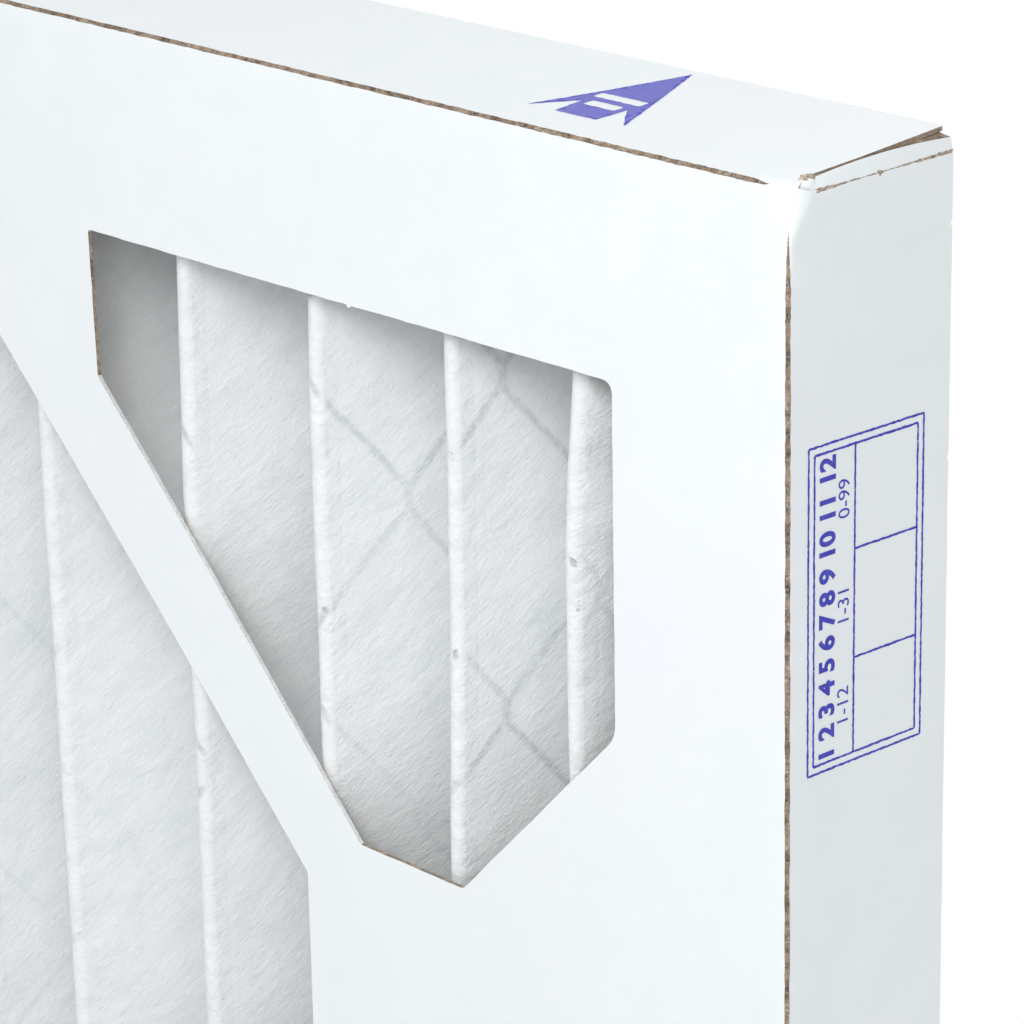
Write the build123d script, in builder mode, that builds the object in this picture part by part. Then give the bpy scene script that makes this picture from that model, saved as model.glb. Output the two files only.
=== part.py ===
"""Pleated panel air filter, nominal 16 x 25 x 2 in, standing on its long edge.

X runs along the width, Y along the air's way from the front (air-entering) face to the back,
and Z up. The origin is the middle of the footprint. All sizes are in millimetres.
"""

import math
import os

from build123d import *

# Overall size of the two-piece board frame
frame_width = 622.3
frame_height = 393.7
frame_depth = 44.45
board = 0.95  # thickness of the coated board

# Folds and flaps
fold_notch = 0.7  # width of the cut-score bevel that shows the brown core
notch_stop = 8.5  # the bevel ends this far from each corner
flap_end_gap = 2.5  # the top and bottom flaps end this far short of the side faces
flap_rise = 3.0  # the top flap has sprung up this much at its rear edge
tab_length = 28.0  # corner tabs, turned in from the side flaps
tab_clearance = 1.2  # free space before and behind a corner tab

# Die-cut pattern, the same on both faces
side_border = 46.4
top_border = 46.4
strap_width = 23.3
strap_inset = 107.65  # from each side edge to where two diagonal straps cross
outer_window_reach = 208.3  # from each side edge to the near-vertical cut of a corner window
outer_window_foot = 31.2  # half of the height kept solid between two corner windows
middle_window_half = 167.75  # half of the middle window's width

# Pleats of the nonwoven sheet, with the metal grid laminated to their downstream side
pleat_spacing = 40.85  # aimed at, and fitted to a whole number of folds
end_tip_inset = 15.0  # from each side face to the nearest tip
media_thickness = 2.0
tip_clearance = 2.2  # from the inside of each face to the pleats' tips, taken up by glue
fold_radius = 1.0  # inside radius of the tightest fold
tail_clearance = 0.6  # from the end tails to the side flaps

# Expanded metal grid
grid_thickness = 0.5
grid_strand = 2.2  # width of one strand
grid_bond = 5.0  # height of the bond where two strands meet
grid_rows = 4  # diamonds above each other on one fold

# Hot-melt adhesive
end_glue_thickness = 1.6  # between the pleats' ends and the frame
end_glue_width = 30.0
tail_glue_thickness = 3.0
tail_glue_width = 14.0
strap_glue_width = 6.0
strap_glue_bite = 0.8  # how deep the tips are pressed into it

# Levels that the nested boards share
half_width = frame_width / 2
half_depth = frame_depth / 2
middle_height = frame_height / 2
inner_half_width = half_width - board  # outside of the back frame
inner_bottom = 2 * board
inner_top = frame_height - 2 * board
inner_depth_start = board - half_depth  # front edges of the back frame's flaps

# Die-cut pattern, measured from the middle of the face
window_top = middle_height - top_border
strap_half_run = strap_width / math.sqrt(2)
strap_crossing = half_width - strap_inset
outer_window_right = half_width - side_border
outer_window_left = half_width - outer_window_reach
outer_diagonal = strap_crossing + strap_half_run

# Pleat geometry: arcs at the tips, joined by tangent straight panels
pleat_count = round((frame_width - 2 * end_tip_inset) / pleat_spacing + 0.5)  # tips on each face
tip_count = 2 * pleat_count
pleat_pitch = 2 * (frame_width - 2 * end_tip_inset) / (tip_count - 1)
first_tip = end_tip_inset - half_width
laminate = media_thickness + grid_thickness
neutral_radius = fold_radius + laminate / 2
tip_plane = half_depth - board - tip_clearance
arc_plane = tip_plane - neutral_radius - laminate / 2  # centres of the tip arcs, each side of Y = 0
centre_distance = math.hypot(pleat_pitch / 2, 2 * arc_plane)
panel_angle = math.atan2(pleat_pitch / 2, 2 * arc_plane) - math.asin(2 * neutral_radius / centre_distance)
tail_x = inner_half_width - board - tail_clearance
media_bottom = inner_bottom + board + end_glue_thickness
media_top = inner_top - board - end_glue_thickness
media_height = media_top - media_bottom

os.makedirs("parts", exist_ok=True)


def diagonal_bands(width):
    """The four diagonal bands of one width, trimmed to the field inside the borders."""
    with BuildSketch() as bands:
        for turn in (-45, 45):
            with Locations(Location((strap_crossing, 0), turn)):
                Rectangle(2 * frame_width, width)
        mirror(about=Plane.YZ)
        Rectangle(2 * outer_window_right, 2 * window_top, mode=Mode.INTERSECT)
    return bands.sketch


# The windows are the field inside the borders, less the straps and the solid gussets between them
with BuildSketch() as gussets:
    with Locations((middle_window_half, 0)):
        Rectangle(frame_width, 2 * outer_window_foot, align=(Align.MIN, Align.CENTER))
    Polygon(
        (outer_diagonal, 0),
        (outer_diagonal + frame_height, -frame_height),
        (outer_diagonal + frame_height, frame_height),
        align=None,
    )
    Polygon(
        (outer_window_left, window_top),
        (outer_diagonal - window_top, window_top),
        (outer_window_left, outer_diagonal - outer_window_left),
        align=None,
    )
    mirror(about=Plane.YZ)
    mirror(about=Plane.XZ)

with BuildSketch() as window_pattern:
    Rectangle(2 * outer_window_right, 2 * window_top)
    add(diagonal_bands(strap_width), mode=Mode.SUBTRACT)
    add(gussets.sketch, mode=Mode.SUBTRACT)

front_plane = Plane(origin=(0, -half_depth, middle_height), x_dir=(1, 0, 0), z_dir=(0, -1, 0))
back_plane = Plane(origin=(0, half_depth, middle_height), x_dir=(-1, 0, 0), z_dir=(0, 1, 0))
inner_height = inner_top - inner_bottom

# Front frame: one sheet, its face and four flaps, with tabs on the side flaps
with BuildPart() as front_frame:
    with BuildSketch(front_plane):
        Rectangle(frame_width, frame_height)
    extrude(amount=-board)
    # Top and bottom flaps, seen from the side
    with BuildSketch(Plane.YZ):
        with BuildLine():
            Polyline(
                (-half_depth, frame_height - board),
                (-half_depth, frame_height),
                (half_depth, frame_height + flap_rise),
                (half_depth, frame_height + flap_rise - board),
                close=True,
            )
        make_face()
        with BuildLine():
            Polyline(
                (-half_depth, 0),
                (half_depth, 0),
                (half_depth, board),
                (-half_depth, board),
                close=True,
            )
        make_face()
    extrude(amount=half_width - flap_end_gap, both=True)
    # Side flaps with their corner tabs, seen from the front
    with BuildSketch(front_plane):
        with Locations((half_width - board / 2, 0)):
            Rectangle(board, frame_height - 2 * board)
        mirror(about=Plane.YZ)
    extrude(amount=-frame_depth)
    with BuildSketch(front_plane.offset(-board - tab_clearance)):
        with Locations((half_width, middle_height - board)):
            Rectangle(tab_length, board, align=(Align.MAX, Align.MAX))
        mirror(about=Plane.YZ)
        mirror(about=Plane.XZ)
    extrude(amount=-(frame_depth - board - 2 * tab_clearance))
    with BuildSketch(front_plane):
        add(window_pattern.sketch)
    extrude(amount=-board, mode=Mode.SUBTRACT)
    # Cut-score bevels along the four folds of the face
    with BuildSketch(Plane.YZ):
        with BuildLine():
            Polyline(
                (-half_depth, frame_height),
                (fold_notch - half_depth, frame_height + flap_rise * fold_notch / frame_depth),
                (-half_depth, frame_height - fold_notch),
                close=True,
            )
        make_face()
        with BuildLine():
            Polyline((-half_depth, 0), (fold_notch - half_depth, 0), (-half_depth, fold_notch), close=True)
        make_face()
    extrude(amount=half_width - notch_stop, both=True, mode=Mode.SUBTRACT)
    with BuildSketch(Plane.XY.offset(middle_height)):
        with BuildLine():
            Polyline(
                (half_width, -half_depth),
                (half_width, fold_notch - half_depth),
                (half_width - fold_notch, -half_depth),
                close=True,
            )
        make_face()
        mirror(about=Plane.YZ)
    extrude(amount=middle_height - notch_stop, both=True, mode=Mode.SUBTRACT)
front_frame.part.label = "front_frame"

# Back frame: the second sheet, nested inside the flaps and tabs of the first
with BuildPart() as back_frame:
    with BuildSketch(back_plane):
        Rectangle(2 * inner_half_width, inner_height)
    extrude(amount=-board)
    with BuildSketch(back_plane):
        with Locations((0, inner_height / 2)):
            Rectangle(2 * (inner_half_width - flap_end_gap), board, align=(Align.CENTER, Align.MAX))
        mirror(about=Plane.XZ)
    extrude(amount=inner_depth_start - half_depth)
    with BuildSketch(back_plane):
        with Locations((inner_half_width - board / 2, 0)):
            Rectangle(board, inner_height - 2 * board)
        mirror(about=Plane.YZ)
    extrude(amount=inner_depth_start - half_depth)
    with BuildSketch(back_plane.offset(-board - tab_clearance)):
        with Locations((inner_half_width, inner_height / 2 - board)):
            Rectangle(tab_length, board, align=(Align.MAX, Align.MAX))
        mirror(about=Plane.YZ)
        mirror(about=Plane.XZ)
    extrude(amount=inner_depth_start - half_depth + board + 2 * tab_clearance)
    with BuildSketch(back_plane):
        add(window_pattern.sketch)
    extrude(amount=-board, mode=Mode.SUBTRACT)
back_frame.part.label = "back_frame"


def laminate_side(shift, creased):
    """One side of the folded laminate, at a shift in front of its neutral line.

    The tips are round, or creased to short flats that stay clear of the round ones.
    """
    corners = []
    radii = []
    for index in range(tip_count):
        side = 1 if index % 2 == 0 else -1  # the first tip at the left is on the back face
        radius = neutral_radius - side * shift
        centre_x = first_tip + index * pleat_pitch / 2
        centre_y = side * arc_plane
        if not creased:
            corners.append((centre_x, centre_y + side * radius / math.sin(panel_angle)))
            radii.append(radius)
        elif side == 1:
            flat = radius * math.tan(math.pi / 4 - panel_angle / 2)
            corners.append((centre_x - flat, centre_y + radius))
            corners.append((centre_x + flat, centre_y + radius))
        else:
            flat = radius * math.cos(panel_angle)
            corners.append((centre_x - flat, centre_y - radius * math.sin(panel_angle)))
            corners.append((centre_x, centre_y - radius))
            corners.append((centre_x + flat, centre_y - radius * math.sin(panel_angle)))
    first_corner = arc_plane + (neutral_radius - shift) / math.sin(panel_angle)
    last_corner = arc_plane + (neutral_radius + shift) / math.sin(panel_angle)
    tail_drop = (tail_x + first_tip) / math.tan(panel_angle)
    left_end = (-tail_x, first_corner - tail_drop)
    right_end = (tail_x, tail_drop - last_corner)
    if creased:
        return Polyline(left_end, *corners, right_end)
    return FilletPolyline(left_end, *corners, right_end, radius=radii)


def laminate_layer(front_shift, back_shift, creased):
    """Section of one layer of the folded laminate, between two shifts."""
    with BuildSketch() as layer:
        with BuildLine():
            front_side = laminate_side(front_shift, creased)
            back_side = laminate_side(back_shift, creased)
            Line(front_side @ 0, back_side @ 0)
            Line(front_side @ 1, back_side @ 1)
        make_face()
    return layer.sketch


# Nonwoven media, one sheet folded into pleats
with BuildPart() as pleated_media:
    with BuildSketch(Plane.XY.offset(media_bottom)):
        add(laminate_layer(laminate / 2, laminate / 2 - media_thickness, creased=False))
    extrude(amount=media_height)
pleated_media.part.label = "pleated_media"

# Expanded metal grid, folded with the media: its bonds lie on the folds
with BuildPart() as support_grid:
    with BuildSketch(Plane.XY.offset(media_bottom)):
        add(laminate_layer(laminate / 2 - media_thickness, -laminate / 2, creased=True))
    extrude(amount=media_height)
    row_height = media_height / grid_rows
    strand_rise = row_height / 2 - grid_bond
    strand_run = pleat_pitch / 2 / math.sin(panel_angle)
    strand_offset = grid_strand * math.sin(panel_angle) / math.sin(math.atan2(strand_rise, strand_run))
    gap_half_width = pleat_pitch / 2 - strand_offset
    gap_half_height = row_height / 2 - grid_bond / 2
    with BuildSketch(Plane.XZ.offset(-half_depth)):
        for side, rows in ((-1, grid_rows), (1, grid_rows - 1)):
            with Locations((side * pleat_pitch / 4, (media_bottom + media_top) / 2)):
                with GridLocations(pleat_pitch, row_height, pleat_count, rows):
                    Polygon(
                        (0, gap_half_height),
                        (-gap_half_width, grid_bond / 2),
                        (-gap_half_width, -grid_bond / 2),
                        (0, -gap_half_height),
                        (gap_half_width, -grid_bond / 2),
                        (gap_half_width, grid_bond / 2),
                        align=None,
                    )
    extrude(amount=frame_depth, clean=False, mode=Mode.SUBTRACT)
support_grid.part.label = "support_grid"

# Adhesive between the pleats' ends and the top and bottom of the frame
with BuildPart() as top_glue_bead:
    with BuildSketch(Plane.XY.offset(media_top)):
        Rectangle(2 * (inner_half_width - board), end_glue_width)
    extrude(amount=end_glue_thickness)
    add(back_frame.part, mode=Mode.SUBTRACT)
top_glue_bead.part.label = "top_glue_bead"

with BuildPart() as bottom_glue_bead:
    with BuildSketch(Plane.XY.offset(media_bottom)):
        Rectangle(2 * (inner_half_width - board), end_glue_width)
    extrude(amount=-end_glue_thickness)
    add(back_frame.part, mode=Mode.SUBTRACT)
bottom_glue_bead.part.label = "bottom_glue_bead"

# Adhesive that holds the two end tails of the sheet to the side flaps
tail_height = arc_plane - (inner_half_width - board + first_tip) / math.tan(panel_angle)
with BuildPart() as left_glue_bead:
    with BuildSketch(Plane.XY.offset(media_bottom)):
        with Locations((board - inner_half_width, tail_height)):
            Rectangle(tail_glue_thickness, tail_glue_width, align=(Align.MIN, Align.CENTER))
    extrude(amount=media_height)
    add(pleated_media.part, mode=Mode.SUBTRACT)
    add(support_grid.part, mode=Mode.SUBTRACT)
left_glue_bead.part.label = "left_glue_bead"

with BuildPart() as right_glue_bead:
    with BuildSketch(Plane.XY.offset(media_bottom)):
        with Locations((inner_half_width - board, -tail_height)):
            Rectangle(tail_glue_thickness, tail_glue_width, align=(Align.MAX, Align.CENTER))
    extrude(amount=media_height)
    add(pleated_media.part, mode=Mode.SUBTRACT)
    add(support_grid.part, mode=Mode.SUBTRACT)
right_glue_bead.part.label = "right_glue_bead"

# Adhesive lines along the diagonal straps, into which the pleats' tips are pressed
with BuildPart() as front_strap_glue:
    with BuildSketch(front_plane.offset(-board)):
        add(diagonal_bands(strap_glue_width))
    extrude(amount=-(tip_clearance + strap_glue_bite))
    add(pleated_media.part, mode=Mode.SUBTRACT)
front_strap_glue.part.label = "front_strap_glue"

with BuildPart() as back_strap_glue:
    with BuildSketch(back_plane.offset(-board)):
        add(diagonal_bands(strap_glue_width))
    extrude(amount=-(tip_clearance + strap_glue_bite))
    add(pleated_media.part, mode=Mode.SUBTRACT)
    add(support_grid.part, mode=Mode.SUBTRACT)
back_strap_glue.part.label = "back_strap_glue"

for piece in (
    front_frame,
    back_frame,
    pleated_media,
    support_grid,
    top_glue_bead,
    bottom_glue_bead,
    left_glue_bead,
    right_glue_bead,
    front_strap_glue,
    back_strap_glue,
):
    export_step(piece.part, f"parts/{piece.part.label}.step")
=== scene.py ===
import math
import random

import bpy
import numpy as np
from mathutils import Matrix, Vector, kdtree
from mathutils.bvhtree import BVHTree
from mathutils.geometry import delaunay_2d_cdt


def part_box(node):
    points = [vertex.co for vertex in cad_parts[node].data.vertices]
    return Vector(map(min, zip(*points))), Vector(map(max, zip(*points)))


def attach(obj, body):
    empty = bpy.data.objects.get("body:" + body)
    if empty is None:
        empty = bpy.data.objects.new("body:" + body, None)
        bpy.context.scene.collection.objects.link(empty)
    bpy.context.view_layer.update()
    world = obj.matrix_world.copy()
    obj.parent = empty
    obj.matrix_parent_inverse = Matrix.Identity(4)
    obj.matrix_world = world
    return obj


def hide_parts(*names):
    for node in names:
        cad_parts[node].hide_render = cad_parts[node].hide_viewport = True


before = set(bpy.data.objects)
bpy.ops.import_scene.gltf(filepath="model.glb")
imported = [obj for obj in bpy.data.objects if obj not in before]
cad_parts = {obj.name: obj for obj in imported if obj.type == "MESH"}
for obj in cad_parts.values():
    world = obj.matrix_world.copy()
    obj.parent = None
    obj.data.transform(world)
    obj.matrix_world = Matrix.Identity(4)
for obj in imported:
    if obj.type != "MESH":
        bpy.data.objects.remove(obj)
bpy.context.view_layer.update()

# Whole object, in metres, from the frame: X to the right, Y to the back, Z up
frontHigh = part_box("front_frame")[1]
backLow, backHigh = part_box("back_frame")
mediaLow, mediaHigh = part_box("pleated_media")
flapRise = 0.003  # the top flap has sprung up this much at its rear edge
halfWidth = frontHigh.x
halfDepth = backHigh.y
boxTop = frontHigh.z - flapRise
middleHeight = boxTop / 2
board = 0.00095  # thickness of the coated board

# Camera, worked out from the lines of the box in the photograph
cameraSettings = {
    "azimuth": 47.459,  # degrees to the right of straight on
    "elevation": 18.835,
    "roll": 1.136,
    "lens": 154.05,  # for a 36 mm wide sensor
    "cornerDepth": 0.784,  # from the lens to the top right front corner, along the view
    "cornerRight": 0.04945,  # where that corner lies from the middle of the picture, at its depth
    "cornerUp": 0.05809,
}


def makeCamera(settings):
    azimuth = math.radians(settings["azimuth"])
    elevation = math.radians(settings["elevation"])
    roll = math.radians(settings["roll"])
    right = Vector((math.cos(azimuth), math.sin(azimuth), 0))
    forward = Vector((-math.sin(azimuth) * math.cos(elevation),
                      math.cos(azimuth) * math.cos(elevation),
                      -math.sin(elevation)))
    down = forward.cross(right)
    rolledRight = math.cos(roll) * right + math.sin(roll) * down
    rolledDown = math.cos(roll) * down - math.sin(roll) * right
    corner = Vector((halfWidth, -halfDepth, boxTop))
    place = (corner - settings["cornerRight"] * rolledRight + settings["cornerUp"] * rolledDown
             - settings["cornerDepth"] * forward)
    data = bpy.data.cameras.new("photoCamera")
    data.lens = settings["lens"]
    data.sensor_width = 36
    data.clip_start = 0.01
    camera = bpy.data.objects.new("photoCamera", data)
    turn = Matrix((rolledRight, -rolledDown, -forward)).transposed()
    camera.matrix_world = Matrix.Translation(place) @ turn.to_4x4()
    bpy.context.scene.collection.objects.link(camera)
    bpy.context.scene.camera = camera


makeCamera(cameraSettings)
print("camera placed")


# Small helpers for materials and meshes
def newMaterial(name, roughness, specular=0.3):
    material = bpy.data.materials.new(name)
    material.use_nodes = True
    tree = material.node_tree
    tree.nodes.clear()
    shader = addNode(tree, "ShaderNodeBsdfPrincipled",
                     {"Roughness": roughness, "Specular IOR Level": specular})
    addNode(tree, "ShaderNodeOutputMaterial", {"Surface": shader.outputs["BSDF"]})
    return material, tree, shader


def setInputs(node, inputs):
    for key, value in inputs.items():
        if isinstance(value, bpy.types.NodeSocket):
            node.id_data.links.new(value, node.inputs[key])
        else:
            node.inputs[key].default_value = value
    return node


def addNode(tree, kind, inputs=None, **settings):
    node = tree.nodes.new(kind)
    for name, value in settings.items():
        setattr(node, name, value)
    return setInputs(node, inputs or {})


def doMath(operation, *values):
    tree = next(value.id_data for value in values if isinstance(value, bpy.types.NodeSocket))
    return addNode(tree, "ShaderNodeMath", dict(enumerate(values)), operation=operation).outputs[0]


def plus(first, second):
    return doMath("ADD", first, second)


def minus(first, second):
    return doMath("SUBTRACT", first, second)


def times(first, second):
    return doMath("MULTIPLY", first, second)


def over(first, second):
    return doMath("DIVIDE", first, second)


def moveVector(operation, vector, others=()):
    # others: a dictionary of the node's other inputs
    inputs = {0: vector, **dict(others)}
    return addNode(vector.id_data, "ShaderNodeVectorMath", inputs, operation=operation).outputs


def mixColours(factor, first, second):
    colours = [value if isinstance(value, bpy.types.NodeSocket) else (*value, 1) for value in (first, second)]
    node = addNode(factor.id_data, "ShaderNodeMix", data_type="RGBA")
    return setInputs(node, {0: factor, 6: colours[0], 7: colours[1]}).outputs[2]


def scaleRange(value, low, high, toLow=0.0, toHigh=1.0):
    inputs = {"Value": value, "From Min": low, "From Max": high, "To Min": toLow, "To Max": toHigh}
    return addNode(value.id_data, "ShaderNodeMapRange", inputs, clamp=True).outputs[0]


def addNoise(vector, scale, detail=2.0, roughness=0.5, distortion=0.0):
    inputs = {"Vector": vector, "Scale": scale, "Detail": detail, "Roughness": roughness,
              "Distortion": distortion}
    return addNode(vector.id_data, "ShaderNodeTexNoise", inputs).outputs


def newGroup(name, numbers, outputs):
    # A group with a vector, some numbers with their usual values, and masks to put out
    group = bpy.data.node_groups.new(name, "ShaderNodeTree")
    group.interface.new_socket("Vector", in_out="INPUT", socket_type="NodeSocketVector")
    for label, value in numbers.items():
        socket = group.interface.new_socket(label, in_out="INPUT", socket_type="NodeSocketFloat")
        socket.default_value = value
    for label in outputs:
        group.interface.new_socket(label, in_out="OUTPUT", socket_type="NodeSocketFloat")
    return group, group.nodes.new("NodeGroupInput").outputs, group.nodes.new("NodeGroupOutput")


def placeGroup(group, inputs):
    return addNode(inputs["Vector"].id_data, "ShaderNodeGroup", inputs, node_tree=group).outputs


def objectPlace(tree):
    return addNode(tree, "ShaderNodeTexCoord").outputs["Object"]


def meshPiece(name, points, faces, materials, faceMaterials=None, smooth=True):
    mesh = bpy.data.meshes.new(name)
    mesh.from_pydata([tuple(point) for point in points], [], [tuple(face) for face in faces])
    for material in materials:
        mesh.materials.append(material)
    if faceMaterials is not None:
        mesh.polygons.foreach_set("material_index", np.asarray(faceMaterials, dtype=np.int32))
    mesh.polygons.foreach_set("use_smooth", np.full(len(mesh.polygons), smooth))
    mesh.update()
    piece = bpy.data.objects.new(name, mesh)
    bpy.context.scene.collection.objects.link(piece)
    return piece


def bakeModifiers(piece):
    bpy.context.view_layer.update()
    seen = piece.evaluated_get(bpy.context.evaluated_depsgraph_get())
    plain = bpy.data.meshes.new_from_object(seen)
    plain.name = piece.name
    piece.modifiers.clear()
    piece.data = plain


def thicken(piece, thickness, inside=0, rim=0):
    # inside and rim: how many material slots further the inner side and the cut edge are
    shell = piece.modifiers.new("thickness", "SOLIDIFY")
    shell.thickness = thickness
    shell.offset = -1
    shell.material_offset = inside
    shell.material_offset_rim = rim
    bakeModifiers(piece)


def finishPiece(piece, slotName, *nodes):
    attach(piece, "root")
    if nodes:
        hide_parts(*nodes)


def readValues(items, name, size, kind=np.float32):
    # One row of values for each item of a mesh
    values = np.zeros(len(items) * size, dtype=kind)
    items.foreach_get(name, values)
    return values.reshape(-1, size)


def gridFaces(rows, columns):
    # Squares between the points of a grid, given row by row
    return [(a, a + 1, a + 1 + columns, a + columns)
            for row in range(rows - 1) for a in range(row * columns, (row + 1) * columns - 1)]


def wave(values, seed, shortest, longest, count=6):
    # A smooth uneven line through the values, between about -1 and 1
    chance = random.Random(seed)
    total = np.zeros_like(values)
    for _ in range(count):
        length = shortest * (longest / shortest) ** chance.random()
        total += math.sqrt(length / longest) * np.sin(2 * math.pi * (values / length + chance.random()))
    return total / 2.2


# Paper and fibre detail that more than one material uses
def makePaperGroup():
    group, start, end = newGroup("paperGrain", {"Fine": 900.0, "Cloud": 60.0}, ["Mottle", "Grain"])
    fine = addNoise(start["Vector"], start["Fine"], 4.0, 0.7)[0]
    cloud = addNoise(start["Vector"], start["Cloud"], 5.0, 0.6)[0]
    mottle = scaleRange(plus(times(fine, 0.35), times(cloud, 0.65)), 0.3, 0.7)
    setInputs(end, {"Mottle": mottle, "Grain": fine})
    return group


paperGroup = makePaperGroup()


def paperGrain(vector, fine, cloud):
    return placeGroup(paperGroup, {"Vector": vector, "Fine": fine, "Cloud": cloud})


def addBump(shader, height, strength, distance):
    inputs = {"Height": height, "Strength": strength, "Distance": distance}
    bump = addNode(shader.id_data, "ShaderNodeBump", inputs)
    setInputs(shader, {"Normal": bump.outputs["Normal"]})


coatSettings = {
    "bright": (0.865, 0.895, 0.905),
    "dull": (0.815, 0.855, 0.868),
    "blush": (0.845, 0.868, 0.895),
    "roughness": 0.58,
}


def makeCoat(settings):
    material, tree, shader = newMaterial("boardCoat", settings["roughness"])
    place = objectPlace(tree)
    grain = paperGrain(place, 1100.0, 70.0)
    base = mixColours(grain["Mottle"], settings["dull"], settings["bright"])
    base = mixColours(scaleRange(addNoise(place, 9.0)[0], 0.45, 0.7), base, settings["blush"])
    setInputs(shader, {"Base Color": base, "Roughness": scaleRange(grain["Mottle"], 0, 1, 0.5, 0.68)})
    addBump(shader, plus(times(grain["Grain"], 0.25), grain["Mottle"]), 0.22, 0.00012)
    return material


kraftSettings = {
    "dark": (0.15, 0.105, 0.075),
    "middle": (0.38, 0.29, 0.21),
    "pale": (0.62, 0.55, 0.46),
    "roughness": 0.9,
}


def makeKraft(name, paleShare, fibreScale, **colours):
    settings = dict(kraftSettings, **colours)
    material, tree, shader = newMaterial(name, settings["roughness"], 0.1)
    place = objectPlace(tree)
    mottle = scaleRange(paperGrain(place, fibreScale, fibreScale / 5)["Mottle"], 0.22, 0.72)
    shred = addNoise(place, fibreScale / 2, 6.0, 0.8, 1.5)[0]
    pale = scaleRange(shred, 0.62 - paleShare * 0.35, 0.72 - paleShare * 0.3)
    base = mixColours(mottle, settings["dark"], settings["middle"])
    setInputs(shader, {"Base Color": mixColours(pale, base, settings["pale"])})
    addBump(shader, shred, 0.7, 0.0003)
    return material


coatMaterial = makeCoat(coatSettings)
crushedMaterial = makeKraft("crushedEdge", 0.5, 2000.0, dark=(0.58, 0.57, 0.55), middle=(0.75, 0.75, 0.74),
                            pale=(0.84, 0.85, 0.85))
kraftMaterial = makeKraft("kraftNotch", 0.25, 1900.0, dark=(0.10, 0.07, 0.055))
linerMaterial = makeKraft("kraftLiner", 0.1, 900.0, dark=(0.27, 0.19, 0.13), middle=(0.43, 0.32, 0.235))
edgeMaterial = makeKraft("cutEdge", 0.35, 2600.0, middle=(0.42, 0.33, 0.25))
tornMaterial = makeKraft("tornPaper", 0.5, 1700.0)
print("board materials made")


# The die-cut board: one flat blank with its windows, folded into the box by foldFront or foldBack
windowSettings = {
    "top": 0.15045,  # from the middle height
    "foot": 0.0312,
    "outerLeft": 0.10285,  # from the middle of the width
    "outerRight": 0.26475,
    "middleHalf": 0.16775,
    "strapCrossing": 0.2035,
    "strapHalfRun": 0.016476,
    "strapTaper": 0.0032,  # the strap is this much narrower at the foot, on the outer window's side
    "cornerRadius": 0.0009,
    "outerRadius": 0.0028,
    "toothPlace": 0.1884,
    "edgeStep": 0.004,
    "edgeWander": 0.00007,
    "bowSide": 0.262,  # the face bows in up to here from its middle
    "bowEnd": 0.150,
}

blankSettings = {
    "gridStep": 0.0085,
    "clearance": 0.0022,  # no loose grid point nearer than this to a drawn line
    "notchHalf": 0.0007,
    "sideNotchStop": 0.0085,
    "topNotchStop": 0.0048,
    "sideTaper": 0.0105,  # length over which a side notch narrows to its point
    "topTaper": 0.0040,
    "cornerSoftness": 0.0068,
    "endGap": 0.0025,
    "scoreDrop": 0.0021,  # the tabs' score lies this far under the top, at the front end
    "scoreRise": 0.0007,  # and so much higher at its rear end
    "tabStart": 0.0072,
    "tabLength": 0.024,
    "tabBend": 0.0017,
    "sidePoints": 260,  # along a side fold
    "endPoints": 380,
    "sideNotchFade": 0.010,
    "topNotchFade": 0.003,
    "endSoftness": 0.0009,  # how much rounder the top fold is past its notch
    "burrPlace": 0.0242,  # back from the front face
    "bow": 0.0014,
    "ripple": 0.00018,
    "margin": 0.02,  # the face is level this near to its folds
    "curl": 0.0014,
    "hollow": 0.00035,
    "skin": 0.00006,  # air between a tab and the flap over it
}


def roundCorner(before, corner, after, radius):
    corner = Vector(corner)
    first = (Vector(before) - corner).normalized()
    second = (Vector(after) - corner).normalized()
    start = corner + first * radius
    end = corner + second * radius
    return [(1 - t) ** 2 * start + 2 * t * (1 - t) * corner + t ** 2 * end
            for t in (step / 5 for step in range(6))]


def sampleRing(corners, radii, step, wander, seed):
    chance = random.Random(seed)
    count = len(corners)
    ring = []
    for i in range(count):
        bend = roundCorner(corners[i - 1], corners[i], corners[(i + 1) % count], radii[i])
        following = roundCorner(corners[i], corners[(i + 1) % count], corners[(i + 2) % count],
                                radii[(i + 1) % count])
        ring += bend
        run = following[0] - bend[-1]
        side = Vector((-run.y, run.x)).normalized()
        pieces = max(1, round(run.length / step))
        for k in range(1, pieces):
            ring.append(bend[-1] + run * k / pieces + side * chance.uniform(-wander, wander))
    return [tuple(point) for point in ring]


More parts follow.
